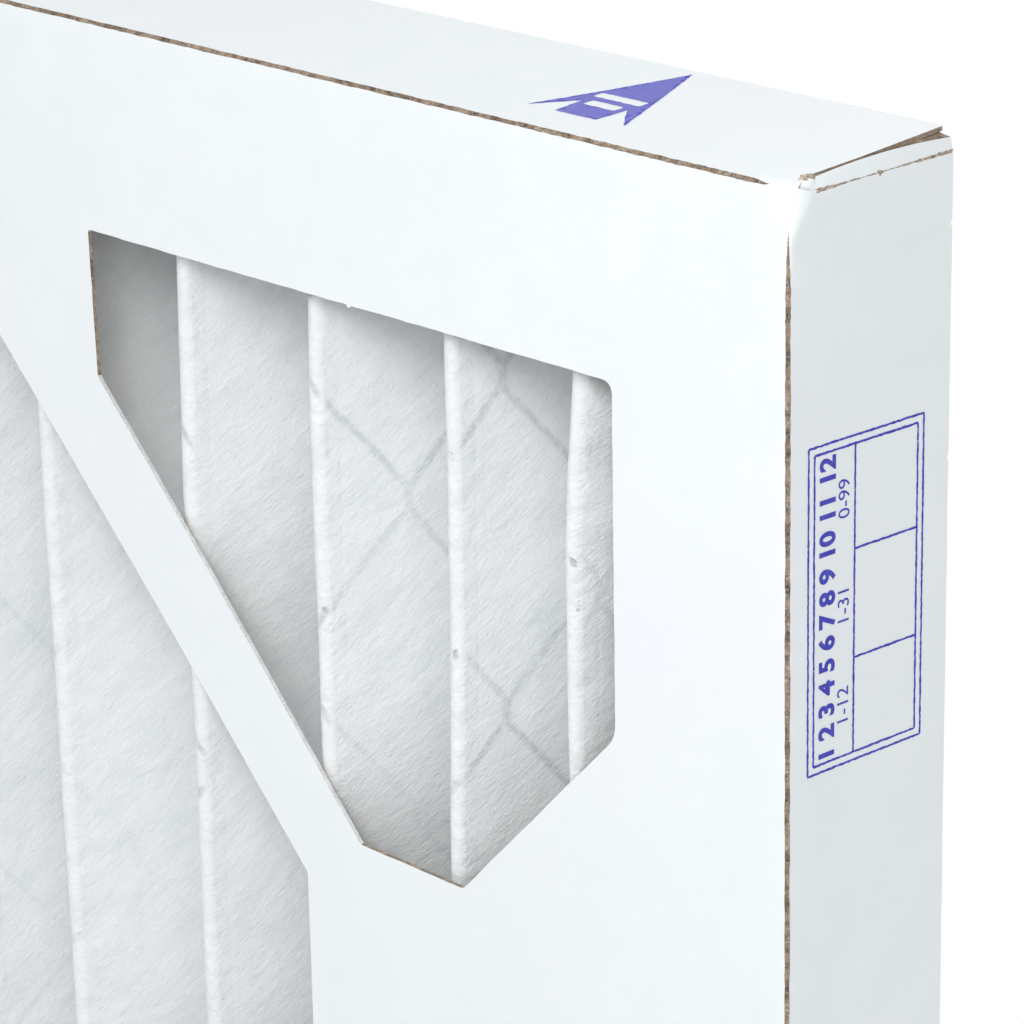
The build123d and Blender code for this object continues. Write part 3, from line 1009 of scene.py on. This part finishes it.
def makeMediaMaterial(settings, nickPlaces):
    material, tree, shader = newMaterial("nonwoven", 0.95, 0.15)
    setInputs(shader, {"Sheen Weight": 0.25, "Sheen Roughness": 0.6})
    chart = addNode(tree, "ShaderNodeUVMap", uv_map="sheetMap").outputs[0]
    turn = (0, 0, math.radians(settings["streakAngle"]))
    streaks = addNode(tree, "ShaderNodeMapping", {"Vector": chart, "Rotation": turn, "Scale": (2.6, 1, 1)},
                      vector_type="TEXTURE").outputs[0]
    fine = paperGrain(streaks, 1700.0, 520.0)
    blotch = addNoise(streaks, 150.0, 7.0, 0.72, 0.4)[0]
    broad = addNoise(chart, 24.0)[0]
    lumps = addNoise(chart, 230.0)[0]
    dots = addNoise(chart, 620.0)[0]
    base = mixColours(scaleRange(blotch, 0.33, 0.62), settings["dull"], settings["bright"])
    base = mixColours(times(fine["Mottle"], 0.45), base, settings["bright"])
    base = mixColours(scaleRange(broad, 0.5, 0.75, 0, 0.5), base, settings["warm"])
    # Crests: narrow and lumpy, with a painted highlight that makes them a little paler
    tips = addNode(tree, "ShaderNodeUVMap", uv_map="tipMap").outputs[0]
    tipParts = addNode(tree, "ShaderNodeSeparateXYZ", {"Vector": tips}).outputs
    uneven = times(minus(plus(times(fine["Mottle"], 0.4), lumps), 0.7), 0.0022)
    crestHighlight = times(scaleRange(plus(tipParts["X"], uneven), 0.0004, 0.0019, 1.0, 0.0),
                  scaleRange(blotch, 0.38, 0.6, 0.35, 1.0))
    base = mixColours(times(crestHighlight, 0.75), base, settings["crestHighlight"])
    # Metal behind: a thin broken core inside a soft shade, which the crests hide
    wander = moveVector("SUBTRACT", addNoise(chart, 70.0, 3.0)["Color"], {1: (0.5, 0.5, 0.5)})[0]
    shifted = moveVector("ADD", chart, {1: moveVector("SCALE", wander, {"Scale": 0.0026})[0]})[0]
    g = gridSettings
    lines = placeGroup(metalLinesGroup, {
        "Vector": shifted, "Cell Width": g["cellWidth"], "Cell Height": g["cellHeight"],
        "Bond Share": g["bondShare"], "Line Width": settings["core"], "Softness": 0.0007})
    core = times(times(lines["Line"], scaleRange(dots, 0.36, 0.56, 0.35, 1.0)), 0.5)
    cover = scaleRange(addNoise(chart, 31.0, 1.0)[0], 0.38, 0.5, 0.55, 1.0)
    strength = times(plus(core, times(lines["Halo"], 0.07)), scaleRange(tipParts["X"], 0.0014, 0.0028))
    strength = times(times(strength, tipParts["Y"]), cover)
    # Nicks: dents where the metal presses into the crests, a bump with its shade painted dark
    nickDentAndShade = times(times(times(crestHighlight, scaleRange(broad, 0.50, 0.56)), lines["Line"]), 0.7)
    ragged = scaleRange(dots, 0.3, 0.6, 0.0007, -0.0003)
    for place in nickPlaces:
        apart = moveVector("SUBTRACT", shifted, {1: place})[0]
        apart = moveVector("MULTIPLY", apart, {1: (1.0, 0.6, 1.0)})[0]
        reach = plus(moveVector("LENGTH", apart)["Value"], ragged)
        nickDentAndShade = doMath("MAXIMUM", nickDentAndShade, scaleRange(reach, 0.0002, 0.0007, 0.85, 0.0))
    # the nicks' painted shade takes the same dark colour as the metal lines
    setInputs(shader, {"Base Color": mixColours(doMath("MAXIMUM", strength, nickDentAndShade), base, settings["line"])})
    height = plus(plus(blotch, times(fine["Mottle"], 0.5)), times(fine["Grain"], 0.15))
    height = plus(minus(height, times(nickDentAndShade, 1.5)),
                  times(lumps, scaleRange(tipParts["X"], 0.002, 0.005, 2.2, 0.4)))
    addBump(shader, height, 0.6, 0.00075)
    return material


def sheetStations():
    # Columns of the sheet, along from its first tip, and the true length up to each of them
    s = pleatSettings
    tips = np.arange(s["tipCount"]) * tipStep
    tail = (s["tailReach"] + s["firstTip"]) / math.sin(pleatLean)
    stations = []
    for share in (0.3, 0.6, 1.0):
        stations += [-tail * share, tips[-1] + tail * share]
    for tip in tips:
        stations += list(tip + np.array([-1.0, -0.66, -0.33, 0.0, 0.33, 0.66, 1.0]) * arcRun / 2)
    for tip in tips[:-1]:
        stations += list(tip + arcRun / 2 + straightRun * np.array([0.12, 0.31, 0.56, 0.85]))
    stations = np.array(sorted(stations))
    line = pleatPoints(stations, np.full_like(stations, gridSettings["nodeHeight"]), 0.0)
    lengths = np.concatenate([[0], np.cumsum(np.linalg.norm(np.diff(line, axis=0), axis=1))])
    node = np.interp(gridSettings["nodeTip"] * tipStep + gridSettings["nodePast"], stations, lengths)
    return stations, lengths - node


def metalShows(along, height):
    # How clearly the metal behind shows through each run of the sheet
    g = gridSettings
    chance = random.Random(5)
    strengths = np.array([chance.uniform(0.3, 0.9) for _ in range(pleatSettings["tipCount"] + 1)])
    for run, strength in g["shows"].items():
        strengths[run] = strength
    run = np.clip(along / tipStep, 0, len(strengths) - 1)
    low = (1 - ease(height, *g["fadeHeights"])) * (run < g["fadeRuns"][1]) * (run > g["fadeRuns"][0])
    return np.interp(run, np.arange(len(strengths)) + 0.5, strengths) * (1 - g["fade"] * low)


def makeMedia():
    s = pleatSettings
    stations, lengths = sheetStations()
    nodeHeight = gridSettings["nodeHeight"]
    along, up = (values.ravel() for values in
                 np.meshgrid(stations, np.linspace(s["bottom"], s["top"], s["rows"])))
    places = pleatPoints(along, up, s["thickness"] / 2)
    nickPlaces = [(np.interp(tip * tipStep, stations, lengths) + aside, level - nodeHeight, 0)
                  for tip, level, aside in mediaLook["nicks"]]
    piece = meshPiece("pleatedSheet", places, gridFaces(s["rows"], len(stations)),
                      [makeMediaMaterial(mediaLook, nickPlaces)])
    corners = readValues(piece.data.loops, "vertex_index", 1, np.int32)[:, 0]
    pleat = (along - tipStep) / (2 * tipStep)
    charts = {
        "sheetMap": (np.tile(lengths, s["rows"]), up - nodeHeight),
        "tipMap": (np.abs(pleat - np.round(pleat)) * 2 * tipStep, metalShows(along, up)),
    }
    for label, chart in charts.items():
        flat = np.stack(chart, axis=1)[corners].astype(np.float32)
        piece.data.uv_layers.new(name=label).data.foreach_set("uv", flat.ravel())
    thicken(piece, s["thickness"])
    finishPiece(piece, "nonwoven", "pleated_media")
    return piece


pleatedSheet = makeMedia()
print("pleated sheet", len(pleatedSheet.data.polygons), "faces")


# Expanded metal on the air-leaving side, made flat and then folded with the sheet
def makeStrandTree():
    # Upright lines side by side, swung to and fro so that neighbours meet, as strips of metal
    tree = bpy.data.node_groups.new("openedMetal", "GeometryNodeTree")
    numbers = {"Strands": 10, "Half Cell": 0.03, "Cell Height": 0.07, "Bond Share": 0.8, "Wire Width": 0.0016,
               "Wire Thickness": 0.0005, "Points": 100, "Point Step": 0.0024, "First Cell": 0, "Bottom": 0.0}
    sockets = {}
    for label, value in numbers.items():
        kind = "NodeSocketInt" if isinstance(value, int) else "NodeSocketFloat"
        sockets[label] = tree.interface.new_socket(label, in_out="INPUT", socket_type=kind)
        sockets[label].default_value = value
    sockets["Metal"] = tree.interface.new_socket("Metal", in_out="INPUT", socket_type="NodeSocketMaterial")
    names = {label: socket.identifier for label, socket in sockets.items()}
    tree.interface.new_socket("Geometry", in_out="OUTPUT", socket_type="NodeSocketGeometry")
    start = tree.nodes.new("NodeGroupInput").outputs
    end = tree.nodes.new("NodeGroupOutput")
    half = start["Half Cell"]

    def shape(kind, inputs, **settings):
        return addNode(tree, "GeometryNode" + kind, inputs, **settings).outputs[0]

    def vector(**inputs):
        return addNode(tree, "ShaderNodeCombineXYZ", inputs).outputs[0]

    firstPlace = times(plus(start["First Cell"], 0.5), half)
    upright = shape("MeshLine", {"Count": start["Points"], "Start Location": vector(Y=start["Bottom"]),
                                 "Offset": vector(Y=start["Point Step"])})
    row = shape("MeshLine", {"Count": start["Strands"], "Start Location": vector(X=firstPlace),
                             "Offset": vector(X=half)})
    copies = shape("InstanceOnPoints", {"Points": row, "Instance": upright})
    curves = shape("MeshToCurve", {"Mesh": shape("RealizeInstances", {"Geometry": copies})})
    place = addNode(tree, "ShaderNodeSeparateXYZ", {"Vector": shape("InputPosition", {})}).outputs
    swing = swingAcross(place["Y"], start["Cell Height"], start["Bond Share"])
    odd = doMath("FLOORED_MODULO", doMath("FLOOR", over(place["X"], half)), 2.0)
    slack = minus(times(half, 0.5), times(start["Wire Width"], 0.48))
    shift = times(times(swing, minus(1.0, times(odd, 2.0))), slack)
    moved = shape("SetPosition", {"Geometry": curves, "Offset": vector(X=shift)})
    flat = shape("SetCurveNormal", {"Curve": moved}, mode="Z_UP")
    section = shape("CurvePrimitiveQuadrilateral",
                    {"Width": start["Wire Width"], "Height": start["Wire Thickness"]}, mode="RECTANGLE")
    wires = shape("CurveToMesh", {"Curve": flat, "Profile Curve": section, "Fill Caps": True})
    real = shape("RealizeInstances", {"Geometry": wires})
    setInputs(end, {0: shape("SetMaterial", {"Geometry": real, "Material": start["Metal"]})})
    return tree, names


metalSettings = {
    "bright": (0.62, 0.63, 0.64),
    "dull": (0.42, 0.43, 0.44),
    "rough": 0.42,
}


def makeMetalMaterial(settings):
    material, tree, shader = newMaterial("openedMetal", settings["rough"], 0.5)
    grain = paperGrain(objectPlace(tree), 1800.0, 160.0)
    setInputs(shader, {"Metallic": 0.9,
                       "Base Color": mixColours(grain["Mottle"], settings["dull"], settings["bright"]),
                       "Roughness": scaleRange(grain["Mottle"], 0, 1, 0.55, 0.34)})
    addBump(shader, grain["Grain"], 0.2, 0.0001)
    return material


def makeLattice():
    g = gridSettings
    s = pleatSettings
    stations, lengths = sheetStations()
    half = g["cellWidth"] / 2
    firstCell = math.ceil(lengths[0] / half)
    tree, names = makeStrandTree()
    carrier = meshPiece("metalLattice", [(0, 0, 0)], [], [])
    modifier = carrier.modifiers.new("openedMetal", "NODES")
    modifier.node_group = tree
    values = {
        "Strands": math.floor(lengths[-1] / half) - firstCell, "Half Cell": half,
        "Cell Height": g["cellHeight"], "Bond Share": g["bondShare"], "Wire Width": g["wireWidth"],
        "Wire Thickness": g["wireThickness"], "Point Step": g["pointStep"], "First Cell": firstCell,
        "Points": int((s["top"] - s["bottom"] - 2 * g["endGap"]) / g["pointStep"]) + 1,
        "Bottom": s["bottom"] + g["endGap"] - g["nodeHeight"], "Metal": makeMetalMaterial(metalSettings),
    }
    for label, value in values.items():
        modifier[names[label]] = value
    bakeModifiers(carrier)
    mesh = carrier.data
    flat = readValues(mesh.vertices, "co", 3).astype(float)
    along = np.interp(flat[:, 0], lengths, stations)
    behind = -(s["thickness"] + g["wireThickness"]) / 2 - 0.00002
    folded = pleatPoints(along, flat[:, 1] + g["nodeHeight"], behind + flat[:, 2])
    mesh.vertices.foreach_set("co", folded.astype(np.float32).ravel())
    mesh.update()
    finishPiece(carrier, "expanded_metal", "support_grid")
    return carrier


metalLattice = makeLattice()
print("metal lattice", len(metalLattice.data.polygons), "faces")


# Hot melt: small flattened drops where a pleat's tip meets a strap, and the seals round the sheet
glueSettings = {
    "pale": (0.86, 0.82, 0.68),
    "deep": (0.74, 0.66, 0.48),
    "dropLength": 0.0085,
    "dropWidth": 0.0042,
    "bite": 0.0006,  # how far a drop reaches over the tip
    "overlap": 0.00015,  # and into the board
    "endGap": 0.004,  # no drop nearer than this to the windows' top or bottom
    "backBow": 0.79,  # bow of the back board as a share of the front one's
}


def makeGlueMaterial(settings):
    material, tree, shader = newMaterial("hotMelt", 0.32, 0.5)
    grain = paperGrain(objectPlace(tree), 700.0, 110.0)
    setInputs(shader, {"Base Color": mixColours(grain["Mottle"], settings["deep"], settings["pale"])})
    addBump(shader, grain["Mottle"], 0.5, 0.0006)
    return material


glueMaterial = makeGlueMaterial(glueSettings)


def glueDrop(points, faces, centre, slant, thickness, seed):
    # One closed uneven drop of 12 x 6 faces, long along the slant of its strap
    rings, spokes = 6, 12
    chance = random.Random(seed)
    uneven = [chance.uniform(0.8, 1.15) for _ in range(spokes)]
    turns = [2 * math.pi * k / spokes for k in range(spokes)]
    first = len(points)
    for ring in range(rings + 1):
        angle = math.pi * ring / rings
        sides = [(0.0, 0.0)]
        if 0 < ring < rings:
            sides = [(math.sin(angle) * math.cos(turn) * rough, math.sin(angle) * math.sin(turn) * rough)
                     for turn, rough in zip(turns, uneven)]
        for a, b in sides:
            longWay = a * glueSettings["dropLength"] / 2
            wide = b * glueSettings["dropWidth"] / 2
            points.append((centre[0] + longWay * slant[0] - wide * slant[1],
                           centre[1] - math.cos(angle) * thickness / 2,
                           centre[2] + longWay * slant[1] + wide * slant[0]))
    last = first + 1 + (rings - 1) * spokes
    for k in range(spokes):
        following = (k + 1) % spokes
        faces.append((first, first + 1 + k, first + 1 + following))
        faces.append((last, last - spokes + following, last - spokes + k))
        for a in range(first + 1, last - spokes, spokes):
            faces.append((a + k, a + spokes + k, a + spokes + following, a + following))


def makeStrapGlue(name, node, forward):
    # forward is -1 for the drops behind the front straps, 1 for those of the back ones
    g = glueSettings
    w = windowSettings
    bow = blankSettings["bow"] * (1.0 if forward < 0 else g["backBow"])
    tipPlane = pleatSettings["tipPlane"] - g["bite"]
    points = []
    faces = []
    for tip in range(int(forward < 0), pleatSettings["tipCount"], 2):
        evenPlace = pleatSettings["firstTip"] + tip * pleatSettings["halfPitch"]
        for level in (1, -1):
            # Tips wander with height, so the crossing of tip and strap is found in a few steps
            x = evenPlace
            for _ in range(4):
                reach = np.array([middleHeight + level * (w["strapCrossing"] - abs(x))])
                x = evenPlace + tipShift(np.array([tip]), reach)[0]
            drop = w["strapCrossing"] - abs(x)
            if abs(drop) > w["top"] - g["endGap"]:
                continue
            inside = halfDepth - board - strapSag(x, level * drop, bow) + g["overlap"]
            sign = -level * math.copysign(1, x) * math.copysign(1, drop)
            centre = (x, forward * (inside + tipPlane) / 2, middleHeight + level * drop)
            glueDrop(points, faces, centre, (math.sqrt(0.5), sign * math.sqrt(0.5)), inside - tipPlane,
                     700 + tip * 2 + level)
    finishPiece(meshPiece(name, points, faces, [glueMaterial]), "hot_melt", node)


makeStrapGlue("frontStrapGlue", "front_strap_glue", -1)
makeStrapGlue("backStrapGlue", "back_strap_glue", 1)
for seal in ("top_glue_bead", "bottom_glue_bead", "left_glue_bead", "right_glue_bead"):
    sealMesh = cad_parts[seal].data
    if sealMesh.materials:
        sealMesh.materials[0] = glueMaterial
    else:
        sealMesh.materials.append(glueMaterial)
print("hot melt placed")


# Print: a box for the date on the right side, and the arrow of the air flow on the top flap
printSettings = {
    "ink": (0.035, 0.035, 0.43),
    "washedInk": (0.10, 0.10, 0.52),
    "line": 0.0005,
    "gap": 0.0016,  # between the two frames of the date box
    "left": 0.0056,  # back from the front face
    "right": 0.0371,
    "top": 0.0508,  # down from the top
    "bottom": 0.1157,
    "heading": 0.01825,
    "dividers": (0.0731, 0.0949),
    "lift": 0.00005,
    "arrowInk": (0.13, 0.13, 0.50),
    "washedArrowInk": (0.18, 0.18, 0.56),
    # Read upwards, with their tops towards the front face: size, boldness, back, down from the top
    "numbers": (("1 2 3 4 5 6 7 8 9 10 11 12", 0.00575, 0.00022, 0.01105, -0.0836),
                ("1-12", 0.0044, 0.0, 0.01545, -0.1040),
                ("1-31", 0.0044, 0.0, 0.01545, -0.0838),
                ("0-99", 0.0044, 0.0, 0.01545, -0.0625)),
}


def makeInk(name, colour, washed, broken):
    material, tree, shader = newMaterial(name, 0.6, 0.25)
    grain = paperGrain(objectPlace(tree), 2600.0, 420.0)
    base = mixColours(grain["Mottle"], washed, colour)
    gaps = scaleRange(grain["Mottle"], broken, broken - 0.12)
    setInputs(shader, {"Base Color": mixColours(gaps, base, (0.72, 0.75, 0.86))})
    addBump(shader, grain["Grain"], 0.15, 0.0001)
    return material


stampInk = makeInk("stampInk", printSettings["ink"], printSettings["washedInk"], 0.16)
arrowInk = makeInk("arrowInk", printSettings["arrowInk"], printSettings["washedArrowInk"], 0.10)
arrowEdgeInk = makeInk("arrowEdgeInk", printSettings["ink"], printSettings["washedInk"], 0.30)


def roughStroke(points, faces, start, end, width, seed, step=0.0006):
    # A thin stroke with uneven edges, on the flat of a printed face
    chance = random.Random(seed)
    start = Vector(start)
    run = Vector(end) - start
    count = max(2, int(run.length / step))
    along = run.normalized()
    side = Vector((-along.y, along.x))
    first = len(points)
    for k in range(count + 1):
        middle = start + run * k / count
        for way in (1, -1):
            half = width / 2 * chance.uniform(0.62, 1.25)
            points.append(tuple(middle + side * half * way))
    for k in range(count):
        a = first + 2 * k
        faces.append((a, a + 1, a + 3, a + 2))


def numberShapes(body, size, bold):
    # Plain numbers as a flat mesh round the origin: its points and faces
    curve = bpy.data.curves.new("numbers", "FONT")
    curve.body = body
    curve.size = size
    curve.align_x = "CENTER"
    curve.align_y = "CENTER"
    curve.offset = bold
    curve.resolution_u = 4
    words = bpy.data.objects.new("numbers", curve)
    bpy.context.scene.collection.objects.link(words)
    bpy.context.view_layer.update()
    shape = bpy.data.meshes.new_from_object(words.evaluated_get(bpy.context.evaluated_depsgraph_get()))
    points = [(v.co.x, v.co.y) for v in shape.vertices]
    faces = [tuple(face.vertices) for face in shape.polygons]
    bpy.data.objects.remove(words)
    bpy.data.curves.remove(curve)
    bpy.data.meshes.remove(shape)
    return points, faces


def makeDateBox():
    p = printSettings
    points = []
    faces = []
    inset = p["gap"]
    strokes = []
    for seed, grow in ((10, 0.0), (20, inset)):
        left, right = p["left"] + grow, p["right"] - grow
        top, bottom = -p["top"] - grow, -p["bottom"] + grow
        ring = [(left, bottom), (right, bottom), (right, top), (left, top)]
        strokes += [(ring[k], ring[(k + 1) % 4], seed + k) for k in range(4)]
    strokes.append(((p["heading"], -p["bottom"] + inset), (p["heading"], -p["top"] - inset), 31))
    for seed, level in enumerate(p["dividers"]):
        strokes.append(((p["heading"], -level), (p["right"] - inset, -level), 41 + seed))
    for start, end, seed in strokes:
        roughStroke(points, faces, start, end, p["line"], seed)
    for body, size, bold, back, height in p["numbers"]:
        shapes, parts = numberShapes(body, size, bold)
        first = len(points)
        points += [(back - y, height + x) for x, y in shapes]
        faces += [tuple(first + index for index in part) for part in parts]
    origins = [(halfWidth + 0.01, -halfDepth + back, boxTop + height) for back, height in points]
    printOn("dateBox", origins, (-1, 0, 0), faces, [stampInk])


def printOn(name, origins, direction, faces, inks, kinds=None):
    # A print just above the real surface of the board, straight in from each origin
    shape = frontBoard.data
    tree = BVHTree.FromPolygons([v.co for v in shape.vertices],
                                [tuple(face.vertices) for face in shape.polygons])
    inward = Vector(direction)
    places = [tree.ray_cast(Vector(origin), inward)[0] - inward * printSettings["lift"] for origin in origins]
    piece = meshPiece(name, places, faces, inks, kinds)
    for face in piece.data.polygons:
        if face.normal.dot(inward) > 0:
            face.flip()
    piece.data.update()
    finishPiece(piece, "coated_board")


arrowSettings = {
    "middle": -0.0662,  # from the right side
    "tip": 0.0423,  # back from the front face
    "barb": 0.0104,
    "barbHalf": 0.01335,
    "notch": 0.0182,
    "shaftHalf": 0.0056,
    "foot": 0.0104,
    "bars": ((0.0166, 0.0194, 0.0043), (0.0214, 0.0241, 0.0064)),  # from, to, half length
    "waist": 0.0006,
    "edgeStep": 0.0007,
    "edgeWander": 0.00012,
    "rim": 0.0006,  # width of the paler, more broken ink along the outline
}


def makeArrow():
    a = arrowSettings
    half = [(a["shaftHalf"], a["foot"]), (a["shaftHalf"] + a["waist"], a["notch"]),
            (a["barbHalf"], a["barb"])]
    outline = [(0, a["tip"])] + [(-x, y) for x, y in reversed(half)] + half
    outline = denseChain(outline, a["edgeStep"], a["edgeWander"], 61)
    bars = []
    for seed, (low, high, reach) in enumerate(a["bars"]):
        corners = [(-reach, low), (reach, low), (reach, high), (-reach, high)]
        bars.append(sampleRing(corners, [0.0006] * 4, a["edgeStep"], a["edgeWander"], 71 + seed))
    verts, faces = cutBlank(outline, bars, [], gridStep=0.002, clearance=0.0005)
    centres = verts[faces].mean(axis=1)
    gap = np.min(np.linalg.norm(centres[:, None, :] - np.array(outline)[None, :, :], axis=2), axis=1)
    origins = [(halfWidth + a["middle"] + x, -halfDepth + back, boxTop + 0.02) for x, back in verts]
    printOn("airArrow", origins, (0, 0, -1), faces, [arrowInk, arrowEdgeInk], (gap < a["rim"]).astype(int))


makeDateBox()
makeArrow()
print("print placed")


# Light, floor and what is behind the object
lightSettings = {
    # power, size and place of the key light, the fill light at the right and the one behind
    "lamps": ((5.5, 0.50, (0.454, -0.80, 1.09)), (5.6, 0.75, (1.16, -0.86, 0.95)),
              (6.0, 0.60, (-0.25, 1.30, 0.75))),
    "target": (0.25, 0, 0.3),
    "ambient": 0.54,
    "ambientColour": (0.965, 0.985, 1.0),
}


def seenWhite(tree):
    # 1 where the camera, a reflection or clear glass looks at the surroundings, 0 where they light something
    ray = addNode(tree, "ShaderNodeLightPath").outputs
    return doMath("MAXIMUM", doMath("MAXIMUM", ray["Is Camera Ray"], ray["Is Glossy Ray"]),
                  ray["Is Transmission Ray"])


def mixShaders(factor, first, second):
    inputs = {0: factor, 1: first.outputs[0], 2: second.outputs[0]}
    return addNode(factor.id_data, "ShaderNodeMixShader", inputs).outputs[0]


def makeLight(settings):
    for power, size, spot in settings["lamps"]:
        data = bpy.data.lights.new("softLight", "AREA")
        data.energy = power
        data.size = size
        light = bpy.data.objects.new("softLight", data)
        light.visible_camera = False
        place = Vector(spot)
        turn = (Vector(settings["target"]) - place).to_track_quat("-Z", "Y").to_matrix().to_4x4()
        light.matrix_world = Matrix.Translation(place) @ turn
        bpy.context.scene.collection.objects.link(light)
    world = bpy.data.worlds.new("studio")
    bpy.context.scene.world = world
    world.use_nodes = True
    tree = world.node_tree
    tree.nodes.clear()
    looks = ((settings["ambientColour"], settings["ambient"]), ((1, 1, 1), 1.0))
    ambient, white = (addNode(tree, "ShaderNodeBackground", {"Color": (*colour, 1), "Strength": strength})
                      for colour, strength in looks)
    addNode(tree, "ShaderNodeOutputWorld", {"Surface": mixShaders(seenWhite(tree), ambient, white)})


def makeFloor():
    # Pale, and plain white to the eye away from the object, whose shadow it keeps
    size = 4.0
    points = [(-size, -size, 0), (size, -size, 0), (size, size, 0), (-size, size, 0)]
    material, tree, shader = newMaterial("paleFloor", 0.9, 0.1)
    shader.inputs["Base Color"].default_value = (0.86, 0.87, 0.875, 1)
    parts = addNode(tree, "ShaderNodeSeparateXYZ", {"Vector": objectPlace(tree)}).outputs
    aside, before = (doMath("MAXIMUM", minus(doMath("ABSOLUTE", parts[axis]), edge), 0.0)
                     for axis, edge in (("X", halfWidth), ("Y", halfDepth)))
    reach = doMath("SQRT", plus(times(aside, aside), times(before, before)))
    share = times(scaleRange(reach, 0.04, 0.32), seenWhite(tree))
    glow = addNode(tree, "ShaderNodeEmission", {"Color": (1, 1, 1, 1), "Strength": 1.0})
    output = next(node for node in tree.nodes if node.type == "OUTPUT_MATERIAL")
    setInputs(output, {"Surface": mixShaders(share, shader, glow)})
    meshPiece("paleFloor", points, [(0, 1, 2, 3)], [material], smooth=False)


makeLight(lightSettings)
makeFloor()
bpy.context.scene.view_settings.view_transform = "Standard"
print("light and floor set")
